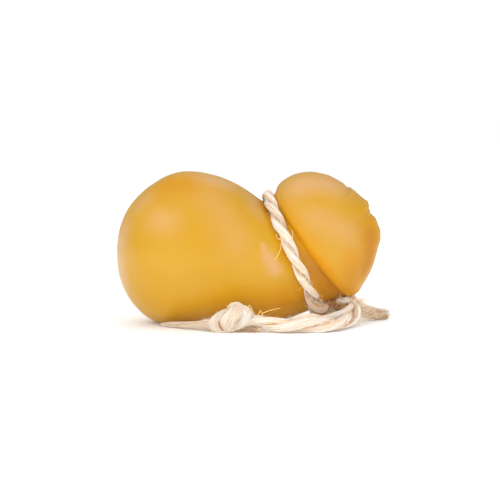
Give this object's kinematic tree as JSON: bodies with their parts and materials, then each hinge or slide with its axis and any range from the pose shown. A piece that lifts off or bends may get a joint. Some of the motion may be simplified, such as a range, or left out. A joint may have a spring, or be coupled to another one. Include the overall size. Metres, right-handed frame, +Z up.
{
  "type": "smoked scamorza",
  "caption": "Pear-shaped smoked stretched-curd cheese with a round head, tied at the neck with a sisal twine that ends in a knot.",
  "frame": {"origin": "on the ground, below the middle of the box round the cheese and its neck twine", "axes": "+X from the belly's round end to the head, +Y to the back, +Z up; the free tail of the twine lies at the front, -Y"},
  "size_m": [0.1307, 0.0809, 0.0723],
  "materials": {
    "smoked_rind": "smooth waxy amber rind, faintly mottled, with a soft sheen",
    "sisal": "two-ply natural sisal, matt and hairy"
  },
  "bodies": {
    "root": {"cheese": "smoked_rind", "neck_twine": "sisal", "neck_knot": "sisal", "short_end": "sisal", "tail_twine": "sisal", "end_knot": "sisal", "frayed_end": "sisal"}
  },
  "joints": []
}
